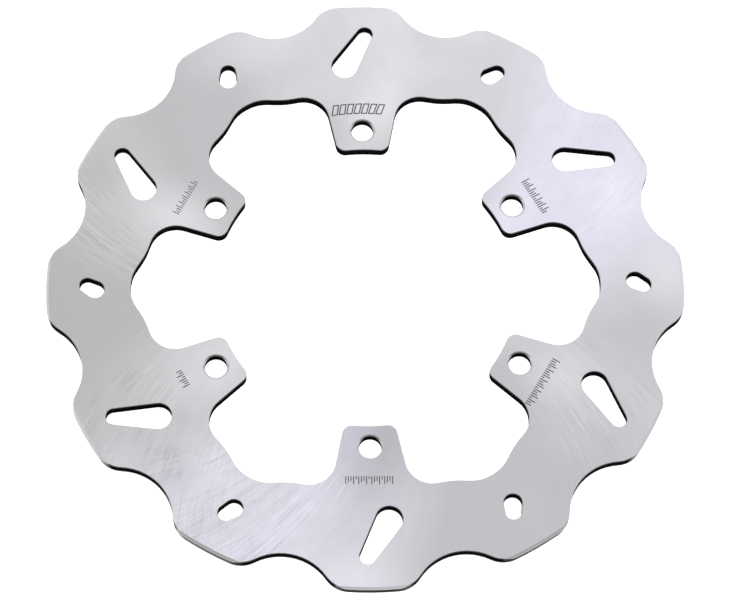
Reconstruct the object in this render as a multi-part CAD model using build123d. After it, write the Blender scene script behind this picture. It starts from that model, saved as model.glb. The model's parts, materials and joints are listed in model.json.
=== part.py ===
from build123d import *
import math
import os

# One-piece wave brake disc for a motorcycle wheel, cut from a single plate.
# Frame: millimetres, +Z up along the wheel axis, origin on the axis in the lower face.
# The middle of one mounting tab is on +Y.

# Plate
OUTER_DIAMETER = 239.2
THICKNESS = 4.2
TIP_BEVEL_WIDTH = 0.9
TIP_BEVEL_DEPTH = 0.4
EDGE_BREAK = 0.25
HOLE_CHAMFER = 0.75

# Wave rim: equal lobes, with round valleys cut between them
LOBE_COUNT = 12
VALLEY_CENTRE_RADIUS = 130.0
VALLEY_RADIUS = 20.0
LOBE_CORNER_RADIUS = 10.5

# Mounting tabs and their bolt holes
TAB_COUNT = 6
BOLT_CIRCLE_DIAMETER = 130.0
BOLT_HOLE_DIAMETER = 8.4
TAB_END_RADIUS = 56.7
TAB_END_WIDTH = 18.9
TAB_CORNER_RADIUS = 3.6

# Pockets between the tabs: points of one half, seen with the pocket's middle on +Y
POCKET_CREST = (4.5, 88.1)
POCKET_SHOULDER = (13.2, 82.6)
POCKET_CORNER = (27.7, 77.5)
CREST_RADIUS = 13.4
SHOULDER_RADIUS = 29.0
POCKET_CORNER_RADIUS = 10.0

# Slots: two round ends of different size joined by straight sides, all leaning the same way
SLOT_LEAN = 30.0
LONG_SLOT_INNER_END = (-6.25, 93.05)
LONG_SLOT_INNER_RADIUS = 5.0
LONG_SLOT_OUTER_RADIUS = 3.05
LONG_SLOT_SPACING = 16.15
SHORT_SLOT_INNER_END = (-0.85, 101.3)
SHORT_SLOT_INNER_RADIUS = 3.4
SHORT_SLOT_OUTER_RADIUS = 2.95
SHORT_SLOT_SPACING = 3.4

# Angles worked out from the counts
TAB_PITCH = 360.0 / TAB_COUNT
LOBE_PITCH = 360.0 / LOBE_COUNT
TAB_ANGLES = [TAB_PITCH * i for i in range(TAB_COUNT)]
POCKET_ANGLES = [angle + TAB_PITCH / 2.0 for angle in TAB_ANGLES]
VALLEY_ANGLES = [LOBE_PITCH * (i + 0.5) for i in range(LOBE_COUNT)]


def turned(point, angle):
    """A point of the XY plane turned about the axis by an angle in degrees."""
    x, y = point
    c = math.cos(math.radians(angle))
    s = math.sin(math.radians(angle))
    return (x * c - y * s, x * s + y * c)


def distance_to(vertex, point):
    return math.hypot(vertex.X - point[0], vertex.Y - point[1])


def rounded_at(face, points, radius):
    """Fillet the face's corners at the given points."""
    corners = [v for v in face.vertices() if min(distance_to(v, p) for p in points) < 0.01]
    return fillet(corners, radius)


def wave_face():
    """The disc's outline: a circle with a round valley between each two lobes."""
    face = Circle(OUTER_DIAMETER / 2.0)
    for angle in VALLEY_ANGLES:
        x, y = turned((0.0, VALLEY_CENTRE_RADIUS), angle)
        face -= Pos(x, y) * Circle(VALLEY_RADIUS)
    return fillet(face.vertices(), LOBE_CORNER_RADIUS)


def tab_corner(side):
    """The corner of the tab on +Y: where its flank meets its arc-shaped end."""
    half_width = side * TAB_END_WIDTH / 2.0
    return (half_width, math.sqrt(TAB_END_RADIUS**2 - half_width**2))


def mirrored(point):
    return (-point[0], point[1])


def opening_face():
    """The middle opening: a pocket between each two tabs, and the arcs across the tab ends."""
    edges = []
    half = [POCKET_CORNER, POCKET_SHOULDER, POCKET_CREST]
    for angle in POCKET_ANGLES:
        right_tab = turned(tab_corner(-1), -TAB_PITCH / 2.0)
        left_tab = mirrored(right_tab)
        local = [left_tab] + [mirrored(p) for p in half] + half[::-1] + [right_tab]
        points = [turned(p, angle) for p in local]
        edges += Polyline(*points).edges()
    for angle in TAB_ANGLES:
        start = turned(tab_corner(-1), angle)
        middle = turned((0.0, TAB_END_RADIUS), angle)
        end = turned(tab_corner(1), angle)
        edges.append(ThreePointArc(start, middle, end).edge())
    face = make_face(edges)
    for corner, radius in (
        (POCKET_CREST, CREST_RADIUS),
        (POCKET_SHOULDER, SHOULDER_RADIUS),
        (POCKET_CORNER, POCKET_CORNER_RADIUS),
    ):
        ends = [corner, mirrored(corner)]
        face = rounded_at(face, [turned(p, a) for p in ends for a in POCKET_ANGLES], radius)
    ends = [tab_corner(-1), tab_corner(1)]
    return rounded_at(face, [turned(p, a) for p in ends for a in TAB_ANGLES], TAB_CORNER_RADIUS)


def slot_face(inner_end, inner_radius, outer_radius, spacing):
    """A tapered slot on the +Y axis: the hull of its two end circles."""
    x, y = inner_end
    lean = math.radians(SLOT_LEAN)
    outer_end = (x + spacing * math.sin(lean), y + spacing * math.cos(lean))
    inner = Pos(*inner_end) * Circle(inner_radius)
    outer = Pos(*outer_end) * Circle(outer_radius)
    return make_hull(inner.edges() + outer.edges())


def all_slots():
    """Both kinds of slot: the long ones outside the tabs, the short ones between them."""
    long_slot = slot_face(
        LONG_SLOT_INNER_END, LONG_SLOT_INNER_RADIUS, LONG_SLOT_OUTER_RADIUS, LONG_SLOT_SPACING
    )
    short_slot = slot_face(
        SHORT_SLOT_INNER_END, SHORT_SLOT_INNER_RADIUS, SHORT_SLOT_OUTER_RADIUS, SHORT_SLOT_SPACING
    )
    slots = [Rot(0, 0, angle) * long_slot for angle in TAB_ANGLES]
    return slots + [Rot(0, 0, angle) * short_slot for angle in POCKET_ANGLES]


def cut_plate():
    """The plate with its outline, opening and slots, and a small break on all their edges."""
    profile = wave_face() - opening_face()
    for slot in all_slots():
        profile -= slot
    plate = extrude(profile, THICKNESS)
    levels = plate.edges().group_by(Axis.Z)
    return chamfer(levels[0] + levels[-1], EDGE_BREAK)


def bevelled_blank():
    """A plain disc with a shallow turned bevel round both faces, which trims the lobes' tips."""
    rim = OUTER_DIAMETER / 2.0
    face_rim = rim - TIP_BEVEL_WIDTH
    lower = [(0, 0), (face_rim, 0), (rim, TIP_BEVEL_DEPTH)]
    upper = [(rim, THICKNESS - TIP_BEVEL_DEPTH), (face_rim, THICKNESS), (0, THICKNESS)]
    half_section = Plane.XZ * make_face(Polyline(*lower, *upper, close=True))
    return revolve(half_section, Axis.Z)


def bolt_hole_cutter():
    """A bolt hole with a countersunk rim on both faces."""
    radius = BOLT_HOLE_DIAMETER / 2.0
    bottom = (Align.CENTER, Align.CENTER, Align.MIN)
    bore = Cylinder(radius, THICKNESS, align=bottom)
    lower = Cone(radius + HOLE_CHAMFER, radius, HOLE_CHAMFER, align=bottom)
    upper = Cone(radius, radius + HOLE_CHAMFER, HOLE_CHAMFER, align=bottom)
    cutter = bore + lower + Pos(0, 0, THICKNESS - HOLE_CHAMFER) * upper
    return Pos(0, BOLT_CIRCLE_DIAMETER / 2.0) * cutter


def brake_disc():
    disc = cut_plate() & bevelled_blank()
    for angle in TAB_ANGLES:
        disc -= Rot(0, 0, angle) * bolt_hole_cutter()
    return disc


def main():
    os.makedirs("parts", exist_ok=True)
    disc = brake_disc()
    disc.label = "brake_disc"
    export_step(disc, "parts/brake_disc.step")


main()
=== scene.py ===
"""A ground steel wave brake disc, lying flat on a pale studio floor.

All lengths are in metres, in the CAD model's frame: +Z up, the disc's axis on Z.
"""

import json
import math

import bmesh
import bpy
from mathutils import Matrix, Vector


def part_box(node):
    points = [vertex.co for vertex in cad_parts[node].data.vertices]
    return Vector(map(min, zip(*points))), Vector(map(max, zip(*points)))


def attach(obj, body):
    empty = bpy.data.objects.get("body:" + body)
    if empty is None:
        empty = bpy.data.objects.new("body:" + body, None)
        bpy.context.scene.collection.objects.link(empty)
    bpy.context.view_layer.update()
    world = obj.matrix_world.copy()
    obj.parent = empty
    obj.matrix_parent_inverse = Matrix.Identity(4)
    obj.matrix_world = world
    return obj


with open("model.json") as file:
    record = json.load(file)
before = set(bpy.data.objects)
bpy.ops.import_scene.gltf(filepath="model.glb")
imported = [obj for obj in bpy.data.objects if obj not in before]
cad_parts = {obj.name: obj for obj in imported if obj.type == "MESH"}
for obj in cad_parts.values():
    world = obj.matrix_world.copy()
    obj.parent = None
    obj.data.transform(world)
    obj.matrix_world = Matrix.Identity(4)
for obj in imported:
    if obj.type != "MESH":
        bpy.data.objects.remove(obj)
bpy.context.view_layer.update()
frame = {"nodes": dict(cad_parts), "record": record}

DISC = "brake_disc"
MM = 0.001

LOW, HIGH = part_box(DISC)
TOP = HIGH.z
RIM_RADIUS = HIGH.x
PATTERN = frame["record"]["mounts"][0]["dims"]
BOLT_RADIUS = PATTERN["pcd_mm"] / 2.0 * MM
HOLE_RADIUS = PATTERN["hole_r_mm"] * MM
TAB_PITCH = 360.0 / PATTERN["count"]

# Camera: a long lens from high in front, turned a little about its own axis
CAMERA_LENS_MM = 141.06
SENSOR_WIDTH_MM = 36.0
CAMERA_DISTANCE = 1.0708
CAMERA_ELEVATION = 65.96
CAMERA_AZIMUTH = -4.87
CAMERA_ROLL = 3.90
CAMERA_AIM = Vector((-0.0004, -0.0062, TOP))
CAMERA_CLIP_START = 0.01

# Rotary grinding: every scratch is part of a circle of one radius, whose centre is this far off the axis
GRIND_RADIUS = 0.150
GRIND_OFFSET = 0.138
# The radius at which the scratches of a fan lie at the fan's stated angle
FAN_MIDDLE_RADIUS = 0.095
# Keeps the sums off a division by zero on the axis, where the disc has no metal
LEAST_RADIUS = 0.001

# The two ways in which the scratches cross the disc: leaning clockwise (-1) and anticlockwise (1) outwards
CLOCKWISE = -1.0
ANTICLOCKWISE = 1.0
# Fans of painted sheen that follow the grinding: lean, middle and half width in degrees, how much lighter
# and bluer (a painted highlight with a painted cool tint), and how much streakier the scratches are
SHEEN_AND_STREAK_FANS = (
    (ANTICLOCKWISE, 26.0, 32.0, 0.27, 0.09, 0.34),
    (ANTICLOCKWISE, 60.0, 34.0, 0.12, 0.01, 0.00),
    (CLOCKWISE, 94.0, 28.0, 0.20, 0.00, 0.08),
    (CLOCKWISE, 161.0, 20.0, 0.14, 0.00, 0.20),
    (CLOCKWISE, 168.0, 13.0, 0.00, 0.00, 0.62),
    (ANTICLOCKWISE, 215.0, 25.0, 0.14, 0.00, 0.75),
    (ANTICLOCKWISE, 236.0, 16.0, 0.00, 0.00, 0.28),
    (CLOCKWISE, 241.0, 26.0, 0.24, 0.05, 0.85),
    (CLOCKWISE, 264.0, 24.0, 0.21, 0.04, 0.20),
    (CLOCKWISE, 330.0, 19.0, 0.10, 0.01, 0.48),
)
# The sector whose sheen follows the scratches that lean anticlockwise: its middle and half width
CROSSED_SECTOR = (20.0, 42.0)
# Soft oval patches of painted sheen and painted shade on the ground face: angle, then in mm the radius of
# the patch's middle and its reach along and across the ring, then how much lighter it is (darker below 0)
SHEEN_AND_SHADE_PATCHES = (
    (1.0, 116.0, 26.0, 20.0, 0.20),
    (22.0, 104.0, 28.0, 26.0, 0.09),
    (75.0, 110.0, 20.0, 18.0, -0.11),
    (84.0, 74.0, 16.0, 26.0, 0.17),
    (101.0, 66.0, 12.0, 16.0, -0.16),
    (113.0, 114.0, 38.0, 24.0, 0.25),
    (154.0, 112.0, 24.0, 14.0, -0.09),
    (158.0, 76.0, 22.0, 32.0, 0.26),
    (209.0, 64.0, 26.0, 36.0, 0.24),
    (224.0, 104.0, 18.0, 16.0, -0.15),
    (237.0, 91.0, 20.0, 20.0, 0.16),
    (266.0, 118.0, 36.0, 24.0, 0.24),
    (270.0, 60.0, 34.0, 40.0, -0.36),
    (318.0, 112.0, 28.0, 22.0, -0.11),
    (333.0, 80.0, 18.0, 20.0, 0.15),
)

# The ground face where no fan crosses it: how light it is, its blue, and how streaky each lean is
STEEL_LEVEL = 0.54
STEEL_BLUE = 1.015
PLAIN_STREAKINESS = {CLOCKWISE: 0.04, ANTICLOCKWISE: 0.02}
# Streaks drawn out along the scratches: noise scale round the disc, noise scale outwards, noise detail
LINES = (240.0, 130.0, 3.0)
SMUDGES = (85.0, 42.0, 2.0)
HAIRLINES = (700.0, 190.0, 2.0)
DARK_SCRATCHES = (200.0, 95.0, 2.0)
BRIGHT_SCRATCHES = (290.0, 60.0, 2.0)
# How much each kind changes the tone; the hairlines are the same everywhere
LINE_WEIGHT = 0.70
SMUDGE_WEIGHT = 0.52
HAIRLINE_WEIGHT = 0.07
DARK_SCRATCH_WEIGHT = -0.22
BRIGHT_SCRATCH_WEIGHT = 0.20
# The noise levels between which a scratch fades in
DARK_SCRATCH_NOISE = (0.55, 0.72)
BRIGHT_SCRATCH_NOISE = (0.60, 0.72)
# Cloudy noise: its scale and detail, and how much it changes the tone
FAN_CLOUDS = (150.0, 2.0)
FAN_CLOUD_WEIGHT = 0.5
WIDE_CLOUDS = (45.0, 3.0)
WIDE_CLOUD_WEIGHT = 0.05
# Streaks come and go in clouds, and they are weak on the tabs: from, to, strength at each
STREAK_CLOUDS = (70.0, 2.0)
STREAK_CLOUD_STRENGTH = (0.38, 0.62, 0.35, 1.0)
STREAK_RADIUS_STRENGTH = (64.0 * MM, 84.0 * MM, 0.3, 1.0)

# What kind of surface a point is on, by how upright its normal is
FACE_NORMALS = (0.94, 0.98)
WALL_NORMALS = (0.20, 0.45, 1.0, 0.0)

# Painted light and shade on the slanting edges, lighter or darker by which way they face (the Y part of
# their normal): from, to, tone at each
BEVEL_PAINTED_LIGHT = (-0.36, -0.15, 0.46, 0.80)
EDGE_BREAK_PAINTED_LIGHT = (-0.5, -0.1, 0.12, 0.55)
COUNTERSINK_BOTTOM_PAINTED_LIGHT = (-0.65, -0.20, 0.004, 0.90)
COUNTERSINK_TOP_PAINTED_LIGHT = (-0.65, -0.20, 0.42, 0.85)
# Painted shade: the bevels at the front right are darker, by how far their normal leans that way
FRONT_RIGHT_PAINTED_SHADE = (0.44, 0.54, 1.0, 0.74)
# Where the bevel starts on the lobe tips, and where a countersink lies round its bolt hole's axis
BEVEL_START = (RIM_RADIUS - 1.15 * MM, RIM_RADIUS - 0.95 * MM)
COUNTERSINK_SPAN = (HOLE_RADIUS, HOLE_RADIUS + 0.75 * MM)
COUNTERSINK_END = (HOLE_RADIUS + 1.0 * MM, HOLE_RADIUS + 1.4 * MM, 1.0, 0.0)
# Edge breaks that look towards the back are matt and painted pale (painted light by which way they face),
# except on the lobe tips
MATT_NORMALS = (-0.15, 0.25)
MATT_RADII = (RIM_RADIUS - 1.6 * MM, RIM_RADIUS - 1.2 * MM, 1.0, 0.0)
MATT_PAINTED_LIGHT = 0.62

# Walls of the lobe tips: polished metal of a painted lighter tone, except where they look to the front,
# which stay dark like the cut walls (painted light and shade by which way they face); a strip just below
# the bevel is painted as light as the bevel
TIP_WALL_RADII = (RIM_RADIUS - 1.6 * MM, RIM_RADIUS - 0.5 * MM)
TIP_WALL_NORMALS = (-1.12, -0.5)
TIP_WALL_PAINTED_LIGHT = 0.22
BELOW_BEVEL_HEIGHTS = (TOP - 0.85 * MM, TOP - 0.65 * MM)
BELOW_BEVEL_RADII = (RIM_RADIUS - 0.5 * MM, RIM_RADIUS)
BELOW_BEVEL_PAINTED_LIGHT = 0.46

# Cut walls: almost black, partly their own dark cut colour and partly painted shade, with fine upright
# lines;
# the outer ones get painted light from the floor at their foot
CUT_AND_SHADE_LEVEL = 0.003
CUT_LINE_SCALES = (2500.0, 2500.0, 250.0)
CUT_LINE_STRENGTH = (0.3, 0.7, 0.2, 2.0)
CUT_ROUGHNESS = 0.6
OUTER_WALL_RADII = (106.0 * MM, 109.0 * MM)
FOOT_HEIGHTS = (0.2 * MM, 1.1 * MM, 1.0, 0.0)
FOOT_PAINTED_LIGHT = 0.35

# Sheen of the ground face and of the edges
FACE_ROUGHNESS = 0.34
EDGE_ROUGHNESS = 0.32
LINE_ROUGHNESS = 0.1
ANISOTROPY = 0.6
LEAST_RELIEF = 0.2
RELIEF_STRENGTH = 0.3
RELIEF_DISTANCE = 0.02 * MM

# Etched marks on the tab roots: angle, then in mm the radius of the mark's middle, its length, height and
# stroke; the first is a band of cells, and the others are rows of ticks
MARKS = (
    (91.2, 74.5, 21.0, 4.5, 0.45),
    (151.2, 77.3, 15.2, 2.8, 0.33),
    (208.5, 78.2, 6.7, 2.9, 0.38),
    (269.5, 77.9, 17.4, 3.1, 0.35),
    (328.0, 75.9, 21.0, 3.2, 0.40),
    (29.2, 74.9, 15.2, 3.6, 0.40),
)
MARK_RISE = 0.015 * MM
MARK_SINK = 0.015 * MM
MARK_COLOUR = (0.085, 0.078, 0.072, 1.0)
MARK_NOISE_SCALE = 2200.0
MARK_UNEVENNESS = (0.3, 0.7, 0.7, 1.4)
MARK_ROUGHNESS = 0.6
MARK_SHINE = 0.2
TICK_PITCH = 0.95 * MM
TICK_PATTERN = (1.0, 0.6, 0.75, 1.0, 0.4)
BAND_CELLS = 7
BAND_CELL_GAP = 0.45 * MM
BAND_SLANT = 0.28

# Floor: a wide square just under the disc, which glows a little so that it stays almost white
FLOOR_SIDE = 6.0
FLOOR_GAP = 0.1 * MM
FLOOR_LEVEL = 0.9
FLOOR_ROUGHNESS = 0.9
FLOOR_GLOW = 0.8

# Lights: an even white world, and square lamps with a name, azimuth, elevation, side, power and colour
WORLD_STRENGTH = 0.79
LAMP_DISTANCE = 1.0
COOL_WHITE = (0.88, 0.86, 1.0)
WHITE = (1.0, 1.0, 1.0)
LAMPS = (
    ("key", 150.0, 50.0, 0.8, 0.70, COOL_WHITE),
    ("back", 180.0, 50.0, 0.8, 0.22, WHITE),
    ("side", 50.0, 60.0, 1.2, 2.00, COOL_WHITE),
)


def unit(azimuth, elevation):
    """The direction towards a place; azimuth 0 is -Y and 90 is +X, in degrees."""
    a = math.radians(azimuth)
    e = math.radians(elevation)
    return Vector((math.cos(e) * math.sin(a), -math.cos(e) * math.cos(a), math.sin(e)))


def link(obj):
    """Put a new object in the scene and hand it back."""
    bpy.context.scene.collection.objects.link(obj)
    return obj


def looking(location, target, roll=0.0):
    """The matrix of a camera or light at location that looks at target."""
    back = (location - target).normalized()
    right = Vector((0.0, 0.0, 1.0)).cross(back).normalized()
    up = back.cross(right)
    turn = Matrix.Rotation(math.radians(roll), 4, "Z")
    axes = Matrix((right, up, back)).transposed().to_4x4()
    return Matrix.Translation(location) @ axes @ turn


def make_camera():
    data = bpy.data.cameras.new("camera")
    data.lens = CAMERA_LENS_MM
    data.sensor_width = SENSOR_WIDTH_MM
    data.clip_start = CAMERA_CLIP_START
    camera = link(bpy.data.objects.new("camera", data))
    place = CAMERA_AIM + unit(CAMERA_AZIMUTH, CAMERA_ELEVATION) * CAMERA_DISTANCE
    camera.matrix_world = looking(place, CAMERA_AIM, CAMERA_ROLL)
    bpy.context.scene.camera = camera


class Nodes:
    """Short calls that add nodes to one material's tree."""

    def __init__(self, name):
        self.material = bpy.data.materials.new(name)
        self.material.use_nodes = True
        self.tree = self.material.node_tree
        self.shader = self.tree.nodes["Principled BSDF"]

    def set(self, socket, value):
        """Put a constant on a socket, or join another node's output to it."""
        if isinstance(value, bpy.types.NodeSocket):
            self.tree.links.new(value, socket)
        else:
            socket.default_value = value

    def add(self, kind, values=(), **settings):
        """A new node with its settings made, and values on its inputs."""
        node = self.tree.nodes.new(kind)
        for name, setting in settings.items():
            setattr(node, name, setting)
        for key, value in dict(values).items():
            self.set(node.inputs[key], value)
        return node

    def math(self, operation, *values):
        node = self.add("ShaderNodeMath", operation=operation)
        for socket, value in zip(node.inputs, values):
            self.set(socket, value)
        return node.outputs[0]

    def rest_of(self, share):
        """What a share leaves of 1."""
        return self.math("SUBTRACT", 1.0, share)

    def vector(self, operation, a, b=(0.0, 0.0, 0.0), output="Vector"):
        node = self.add("ShaderNodeVectorMath", operation=operation)
        self.set(node.inputs[0], a)
        self.set(node.inputs[1], b)
        return node.outputs[output]

    def scaled(self, vector, number):
        node = self.add("ShaderNodeVectorMath", {"Scale": number}, operation="SCALE")
        self.set(node.inputs[0], vector)
        return node.outputs[0]

    def combine(self, x, y, z):
        return self.add("ShaderNodeCombineXYZ", {"X": x, "Y": y, "Z": z}).outputs[0]

    def separate(self, vector):
        node = self.add("ShaderNodeSeparateXYZ", {"Vector": vector})
        return node.outputs[0], node.outputs[1], node.outputs[2]

    def noise(self, vector, scale, detail=2.0):
        """Noise round a half, from 0 to 1."""
        values = {"Vector": vector, "Scale": scale, "Detail": detail, "Roughness": 0.5}
        return self.add("ShaderNodeTexNoise", values).outputs[0]

    def step(self, value, low, high, to_low=0.0, to_high=1.0):
        """A smooth step: to_low below low, to_high above high."""
        span = {"From Min": low, "From Max": high, "To Min": to_low, "To Max": to_high}
        node = self.add("ShaderNodeMapRange", span, interpolation_type="SMOOTHSTEP")
        self.set(node.inputs["Value"], value)
        return node.outputs[0]

    def blend(self, factor, a, b):
        """Between two numbers."""
        node = self.add("ShaderNodeMix", data_type="FLOAT")
        self.set(node.inputs[0], factor)
        self.set(node.inputs[2], a)
        self.set(node.inputs[3], b)
        return node.outputs[0]

    def blend_vector(self, factor, a, b):
        node = self.add("ShaderNodeMix", data_type="VECTOR")
        self.set(node.inputs[0], factor)
        self.set(node.inputs[4], a)
        self.set(node.inputs[5], b)
        return node.outputs[1]

    def blend_colour(self, factor, a, b):
        node = self.add("ShaderNodeMix", data_type="RGBA")
        self.set(node.inputs[0], factor)
        self.set(node.inputs[6], a)
        self.set(node.inputs[7], b)
        return node.outputs[2]

    def tinted(self, tone, blue_tone, base):
        """A grey whose blue has its own strength."""
        level = self.math("MULTIPLY", tone, base)
        blue = self.math("MULTIPLY", blue_tone, base)
        node = self.add("ShaderNodeCombineColor", {"Red": level, "Green": level, "Blue": blue})
        return node.outputs[0]

    def scaled_colour(self, colour, value):
        """A colour made lighter or darker by a number."""
        node = self.add("ShaderNodeMix", data_type="RGBA", blend_type="MULTIPLY")
        node.inputs[0].default_value = 1.0
        self.set(node.inputs[6], colour)
        self.set(node.inputs[7], self.combine(value, value, value))
        return node.outputs[2]


def grey(value):
    return (value, value, value, 1.0)


class Surface:
    """Where a point of the disc is, and which way its surface looks there, as nodes' outputs."""

    def __init__(self, n):
        geometry = n.add("ShaderNodeNewGeometry")
        self.position = geometry.outputs["Position"]
        self.x, self.y, self.z = n.separate(self.position)
        self.flat = n.combine(self.x, self.y, 0.0)
        self.r = n.math("MAXIMUM", n.vector("LENGTH", self.flat, output="Value"), LEAST_RADIUS)
        self.normal_x, self.normal_y, normal_z = n.separate(geometry.outputs["True Normal"])
        upright = n.math("ABSOLUTE", normal_z)
        self.face = n.step(upright, *FACE_NORMALS)
        self.wall = n.step(upright, *WALL_NORMALS)
        self.slope = n.math("MULTIPLY", n.rest_of(self.face), n.rest_of(self.wall))


def grinding_arcs(n, at, side):
    """Which scratch passes through each point, as a unit vector, and the direction across it.

    The scratch's centre, the axis and the point make a triangle with three known sides.
    """
    squares = n.math("ADD", n.math("MULTIPLY", at.r, at.r), GRIND_OFFSET**2 - GRIND_RADIUS**2)
    cosine = n.math("DIVIDE", squares, n.math("MULTIPLY", at.r, 2.0 * GRIND_OFFSET))
    turn = n.math("MULTIPLY", n.math("ARCCOSINE", cosine), side)
    angle = n.math("ADD", n.math("ARCTAN2", at.y, at.x), turn)
    number = n.combine(n.math("COSINE", angle), n.math("SINE", angle), 0.0)
    centre = n.scaled(number, GRIND_OFFSET)
    across = n.vector("NORMALIZE", n.vector("SUBTRACT", at.flat, centre))
    return number, across


def streaks(n, number, r, kind):
    """Noise drawn out along the scratches."""
    round_scale, outward_scale, detail = kind
    outwards = n.combine(0.0, 0.0, n.math("MULTIPLY", r, outward_scale))
    place = n.vector("ADD", n.scaled(number, round_scale), outwards)
    return n.noise(place, 1.0, detail)


def sector(n, number, side, middle, half_width):
    """1 in the middle of a fan that follows the scratches round, falling to 0 at its sides."""
    squares = FAN_MIDDLE_RADIUS**2 + GRIND_OFFSET**2 - GRIND_RADIUS**2
    lead = side * math.acos(squares / (2.0 * FAN_MIDDLE_RADIUS * GRIND_OFFSET))
    a = math.radians(middle) + lead
    near = n.vector("DOT_PRODUCT", number, (math.cos(a), math.sin(a), 0.0), output="Value")
    return n.step(near, math.cos(math.radians(half_width)), 1.0)


def oval_patch(n, position, angle, radius, along, across):
    """1 in the middle of a soft oval on the ring, falling to 0 at its reach; lengths in mm."""
    a = math.radians(angle)
    side = n.vector("DOT_PRODUCT", position, (-math.sin(a), math.cos(a), 0.0), output="Value")
    out = n.vector("DOT_PRODUCT", position, (math.cos(a), math.sin(a), 0.0), output="Value")
    side = n.math("DIVIDE", side, along * MM)
    out = n.math("DIVIDE", n.math("SUBTRACT", out, radius * MM), across * MM)
    away = n.vector("LENGTH", n.combine(side, out, 0.0), output="Value")
    return n.step(away, 0.0, 1.0, 1.0, 0.0)


def weighted(n, total, value, weight):
    """A total with a value that lies round a half added to it, by weight."""
    return n.math("MULTIPLY_ADD", n.math("SUBTRACT", value, 0.5), weight, total)


def sheen_and_streak_fans(n, numbers):
    """What the fans do to the ground face: how much painted sheen and painted blue tint they add, how
    streaky on each lean.
    """
    painted_sheen = 0.0
    blue = STEEL_BLUE
    streaky = dict(PLAIN_STREAKINESS)
    for side, middle, half_width, more_painted_light, more_painted_tint, more_streaks in SHEEN_AND_STREAK_FANS:
        share = sector(n, numbers[side], side, middle, half_width)
        painted_sheen = n.math("MULTIPLY_ADD", share, more_painted_light, painted_sheen)
        blue = n.math("MULTIPLY_ADD", share, more_painted_tint, blue)
        streaky[side] = n.math("MULTIPLY_ADD", share, more_streaks, streaky[side])
    return painted_sheen, blue, streaky


def with_streaks(n, tone, number, r, strength):
    """A tone with the streaks of one lean added to it, and the lines among those streaks."""
    lines = streaks(n, number, r, LINES)
    smudges = streaks(n, number, r, SMUDGES)
    hairlines = streaks(n, number, r, HAIRLINES)
    dark = n.step(streaks(n, number, r, DARK_SCRATCHES), *DARK_SCRATCH_NOISE)
    bright = n.step(streaks(n, number, r, BRIGHT_SCRATCHES), *BRIGHT_SCRATCH_NOISE)
    tone = weighted(n, tone, lines, n.math("MULTIPLY", strength, LINE_WEIGHT))
    tone = weighted(n, tone, smudges, n.math("MULTIPLY", strength, SMUDGE_WEIGHT))
    tone = weighted(n, tone, hairlines, HAIRLINE_WEIGHT)
    tone = n.math("MULTIPLY_ADD", n.math("MULTIPLY", dark, strength), DARK_SCRATCH_WEIGHT, tone)
    tone = n.math("MULTIPLY_ADD", n.math("MULTIPLY", bright, strength), BRIGHT_SCRATCH_WEIGHT, tone)
    return tone, lines


def face_tone(n, at, numbers):
    """How light the ground face is with its painted sheen and shade, how light its blue is, and its fine
    lines as a height.
    """
    painted_sheen, blue, streaky = sheen_and_streak_fans(n, numbers)
    tone = n.math("ADD", 1.0, painted_sheen)
    clouds = n.noise(at.position, *FAN_CLOUDS)
    tone = weighted(n, tone, clouds, n.math("MULTIPLY", painted_sheen, FAN_CLOUD_WEIGHT))
    # Painted sheen and painted shade, in soft oval patches
    for angle, radius, along, across, more_painted_light in SHEEN_AND_SHADE_PATCHES:
        share = oval_patch(n, at.position, angle, radius, along, across)
        tone = n.math("MULTIPLY_ADD", share, more_painted_light, tone)
    cloudy = n.step(n.noise(at.position, *STREAK_CLOUDS), *STREAK_CLOUD_STRENGTH)
    cloudy = n.math("MULTIPLY", cloudy, n.step(at.r, *STREAK_RADIUS_STRENGTH))
    height = 0.0
    for side, number in numbers.items():
        strength = n.math("MULTIPLY", streaky[side], cloudy)
        tone, lines = with_streaks(n, tone, number, at.r, strength)
        height = n.math("MULTIPLY_ADD", lines, n.math("ADD", streaky[side], LEAST_RELIEF), height)
    tone = weighted(n, tone, n.noise(at.position, *WIDE_CLOUDS), WIDE_CLOUD_WEIGHT)
    return tone, n.math("MULTIPLY", tone, blue), height


def from_bolt_axis(n, at):
    """The distance to the nearest bolt hole's axis, with all the holes turned onto one."""
    angle = n.math("SUBTRACT", n.math("ARCTAN2", at.y, at.x), math.pi / 2.0)
    half_pitch = math.radians(TAB_PITCH / 2.0)
    turned = n.math("WRAP", angle, half_pitch, -half_pitch)
    along = n.math("SUBTRACT", n.math("MULTIPLY", at.r, n.math("COSINE", turned)), BOLT_RADIUS)
    aside = n.math("MULTIPLY", at.r, n.math("SINE", turned))
    return n.vector("LENGTH", n.combine(along, aside, 0.0), output="Value")


def painted_edge_light(n, at):
    """Painted light and shade on the slanting edges, by which way they face: the tips' bevels, the edge
    breaks and the countersinks.
    """
    front_right = n.math("SUBTRACT", at.normal_x, at.normal_y)
    shade = n.step(front_right, *FRONT_RIGHT_PAINTED_SHADE)
    bevel = n.math("MULTIPLY", n.step(at.normal_y, *BEVEL_PAINTED_LIGHT), shade)
    edge_break = n.step(at.normal_y, *EDGE_BREAK_PAINTED_LIGHT)
    edge = n.blend(n.step(at.r, *BEVEL_START), edge_break, bevel)
    bolt = from_bolt_axis(n, at)
    bottom = n.step(at.normal_y, *COUNTERSINK_BOTTOM_PAINTED_LIGHT)
    top = n.step(at.normal_y, *COUNTERSINK_TOP_PAINTED_LIGHT)
    countersink = n.blend(n.step(bolt, *COUNTERSINK_SPAN), bottom, top)
    return n.blend(n.step(bolt, *COUNTERSINK_END), edge, countersink)


def matt_and_painted_pale_edges(n, at):
    """1 on the edge breaks that are matt and painted pale by which way they face, and 0 elsewhere."""
    inside_tips = n.step(at.r, *MATT_RADII)
    towards_back = n.step(at.normal_y, *MATT_NORMALS)
    return n.math("MULTIPLY", n.math("MULTIPLY", inside_tips, at.slope), towards_back)


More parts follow.
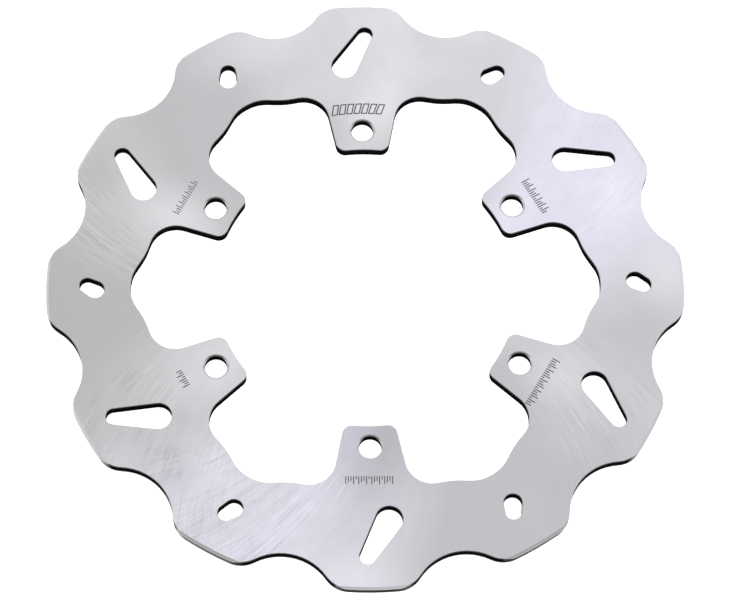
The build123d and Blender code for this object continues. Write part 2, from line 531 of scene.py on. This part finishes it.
def painted_tip_walls(n, at):
    """How polished and painted light the walls are, by how close they are to the lobe tips and which way
    they face, and how light they are there.
    """
    below_bevel = n.step(at.z, *BELOW_BEVEL_HEIGHTS)
    below_bevel = n.math("MULTIPLY", below_bevel, n.step(at.r, *BELOW_BEVEL_RADII))
    aside = n.math("MULTIPLY", n.step(at.r, *TIP_WALL_RADII), n.step(at.normal_y, *TIP_WALL_NORMALS))
    polished_and_painted_light = n.math("MAXIMUM", below_bevel, aside)
    return polished_and_painted_light, n.blend(below_bevel, TIP_WALL_PAINTED_LIGHT, BELOW_BEVEL_PAINTED_LIGHT)


def cut_shade_and_foot_light(n, at):
    """The colour of the dark cut walls, partly painted shade, and the painted floor light at the foot of
    the outer walls.
    """
    lines = n.noise(n.vector("MULTIPLY", at.position, CUT_LINE_SCALES), 1.0)
    cut = n.scaled_colour(grey(CUT_AND_SHADE_LEVEL), n.step(lines, *CUT_LINE_STRENGTH))
    foot = n.math("MULTIPLY", n.step(at.r, *OUTER_WALL_RADII), n.step(at.z, *FOOT_HEIGHTS))
    return n.blend_colour(foot, cut, grey(FOOT_PAINTED_LIGHT))


def set_colours(n, at, numbers):
    """Join up the colour and the metal; returns what the sheen needs: the lines' height, the cut walls."""
    tone, blue_tone, height = face_tone(n, at, numbers)
    matt_painted_pale = matt_and_painted_pale_edges(n, at)
    polished_and_painted_light, tip_wall_painted_level = painted_tip_walls(n, at)
    # The cut walls: black, partly painted shade, except where the tip walls are painted lighter
    dark = n.math("MULTIPLY", at.wall, n.rest_of(polished_and_painted_light))
    # Edges get their painted light and shade, and the matt ones a painted pale tone
    edge = n.blend(matt_painted_pale, painted_edge_light(n, at), MATT_PAINTED_LIGHT)
    level = n.blend(at.wall, edge, tip_wall_painted_level)
    ground = n.tinted(tone, blue_tone, STEEL_LEVEL)
    colour = n.blend_colour(at.face, n.tinted(level, level, 1.0), ground)
    colour = n.blend_colour(dark, colour, cut_shade_and_foot_light(n, at))
    n.set(n.shader.inputs["Base Color"], colour)
    n.set(n.shader.inputs["Metallic"], n.rest_of(n.math("MAXIMUM", dark, matt_painted_pale)))
    return height, dark


def set_sheen(n, at, numbers, across, height, dark):
    """Join up the roughness, the sheen across the scratches and the fine relief of the ground face."""
    roughness = n.math("MULTIPLY_ADD", height, LINE_ROUGHNESS, FACE_ROUGHNESS)
    roughness = n.blend(at.face, EDGE_ROUGHNESS, roughness)
    n.set(n.shader.inputs["Roughness"], n.blend(dark, roughness, CUT_ROUGHNESS))
    n.shader.inputs["Anisotropic"].default_value = ANISOTROPY
    n.shader.inputs["Specular IOR Level"].default_value = 0.0
    crossed = sector(n, numbers[ANTICLOCKWISE], ANTICLOCKWISE, *CROSSED_SECTOR)
    tangent = n.blend_vector(crossed, across[CLOCKWISE], across[ANTICLOCKWISE])
    n.set(n.shader.inputs["Tangent"], tangent)
    relief = n.add("ShaderNodeBump", {"Strength": RELIEF_STRENGTH, "Distance": RELIEF_DISTANCE})
    n.set(relief.inputs["Height"], n.math("MULTIPLY", height, at.face))
    n.set(n.shader.inputs["Normal"], relief.outputs[0])


def ground_steel():
    """The disc: ground faces, bevels and dark cut walls, told apart by which way the surface looks."""
    n = Nodes("ground_steel")
    at = Surface(n)
    numbers = {}
    across = {}
    for side in (CLOCKWISE, ANTICLOCKWISE):
        numbers[side], across[side] = grinding_arcs(n, at, side)
    height, dark = set_colours(n, at, numbers)
    set_sheen(n, at, numbers, across, height, dark)
    return n.material


def etched_black():
    """Marks burnt on by a laser: dark and matt, a little uneven."""
    n = Nodes("etched_black")
    position = n.add("ShaderNodeNewGeometry").outputs["Position"]
    shade = n.step(n.noise(position, MARK_NOISE_SCALE), *MARK_UNEVENNESS)
    n.set(n.shader.inputs["Base Color"], n.scaled_colour(MARK_COLOUR, shade))
    n.shader.inputs["Roughness"].default_value = MARK_ROUGHNESS
    n.shader.inputs["Specular IOR Level"].default_value = MARK_SHINE
    return n.material


def add_plate(mesh, corners, place):
    """A thin closed slab with the given outline, half sunk in the disc's upper face."""
    bottom = [mesh.verts.new(place @ Vector((x, y, TOP - MARK_SINK))) for x, y in corners]
    top = [mesh.verts.new(place @ Vector((x, y, TOP + MARK_RISE))) for x, y in corners]
    mesh.faces.new(top)
    mesh.faces.new(bottom[::-1])
    for i in range(len(corners)):
        k = (i + 1) % len(corners)
        mesh.faces.new((bottom[i], bottom[k], top[k], top[i]))


def tick_row(mesh, turn, radius, length, height, stroke):
    """A straight row of upright ticks of several heights, like the graduations of a scale."""
    place = turn @ Matrix.Translation((0.0, radius, 0.0))
    count = 1 + round((length - stroke) / TICK_PITCH)
    pitch = (length - stroke) / (count - 1)
    half = stroke / 2.0
    low = -height / 2.0
    for i in range(count):
        x = (i - (count - 1) / 2.0) * pitch
        high = low + height * TICK_PATTERN[i % len(TICK_PATTERN)]
        corners = [(x - half, low), (x + half, low), (x + half, high), (x - half, high)]
        add_plate(mesh, corners, place)


def slanted_frame(mesh, width, height, stroke, place):
    """A thin frame in the shape of a parallelogram that leans to the right."""
    high = height / 2.0
    right = width / 2.0
    inside = right - stroke
    level = high - stroke
    sides = (
        ((-right, -high), (-inside, high)),
        ((inside, -high), (right, high)),
        ((-inside, -high), (inside, -level)),
        ((-inside, level), (inside, high)),
    )
    for (x0, y0), (x1, y1) in sides:
        corners = [(x0, y0), (x1, y0), (x1, y1), (x0, y1)]
        add_plate(mesh, [(x + y * BAND_SLANT, y) for x, y in corners], place)


def band_of_cells(mesh, turn, radius, length, height, stroke):
    """A row of slanted frames that follows the ring round."""
    pitch = (length - height * BAND_SLANT + BAND_CELL_GAP) / BAND_CELLS
    for i in range(BAND_CELLS):
        aside = (i - (BAND_CELLS - 1) / 2.0) * pitch
        step = Matrix.Rotation(-aside / radius, 4, "Z") @ Matrix.Translation((0.0, radius, 0.0))
        slanted_frame(mesh, pitch - BAND_CELL_GAP, height, stroke, turn @ step)


def make_marks():
    """A small etched mark on every tab's root, drawn with its middle on +Y and then turned to its angle."""
    black = etched_black()
    for i, (angle, *sizes) in enumerate(MARKS):
        mesh = bmesh.new()
        turn = Matrix.Rotation(math.radians(angle - 90.0), 4, "Z")
        draw = band_of_cells if i == 0 else tick_row
        draw(mesh, turn, *[size * MM for size in sizes])
        bmesh.ops.recalc_face_normals(mesh, faces=mesh.faces)
        name = "etched_mark_%d" % (i + 1)
        data = bpy.data.meshes.new(name)
        mesh.to_mesh(data)
        mesh.free()
        data.materials.append(black)
        mark = link(bpy.data.objects.new(name, data))
        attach(mark, "root")


def make_floor():
    mesh = bpy.data.meshes.new("floor")
    half = FLOOR_SIDE / 2.0
    level = LOW.z - FLOOR_GAP
    corners = ((-half, -half), (half, -half), (half, half), (-half, half))
    mesh.from_pydata([(x, y, level) for x, y in corners], [], [(0, 1, 2, 3)])
    floor = link(bpy.data.objects.new("floor", mesh))
    n = Nodes("floor")
    n.shader.inputs["Base Color"].default_value = grey(FLOOR_LEVEL)
    n.shader.inputs["Roughness"].default_value = FLOOR_ROUGHNESS
    n.shader.inputs["Emission Color"].default_value = grey(1.0)
    n.shader.inputs["Emission Strength"].default_value = FLOOR_GLOW
    mesh.materials.append(n.material)


def add_lamp(name, azimuth, elevation, side, power, colour):
    """A square lamp that looks at the middle of the disc's upper face."""
    data = bpy.data.lights.new(name, "AREA")
    data.shape = "SQUARE"
    data.size = side
    data.energy = power
    data.color = colour
    lamp = link(bpy.data.objects.new(name, data))
    target = Vector((0.0, 0.0, TOP))
    lamp.matrix_world = looking(target + unit(azimuth, elevation) * LAMP_DISTANCE, target)


def make_lights():
    world = bpy.data.worlds.new("studio")
    world.use_nodes = True
    background = world.node_tree.nodes["Background"]
    background.inputs["Color"].default_value = grey(1.0)
    background.inputs["Strength"].default_value = WORLD_STRENGTH
    bpy.context.scene.world = world
    for lamp in LAMPS:
        add_lamp(*lamp)


make_camera()
frame["nodes"][DISC].data.materials[0] = ground_steel()
make_marks()
make_floor()
make_lights()
bpy.context.scene.view_settings.view_transform = "Standard"
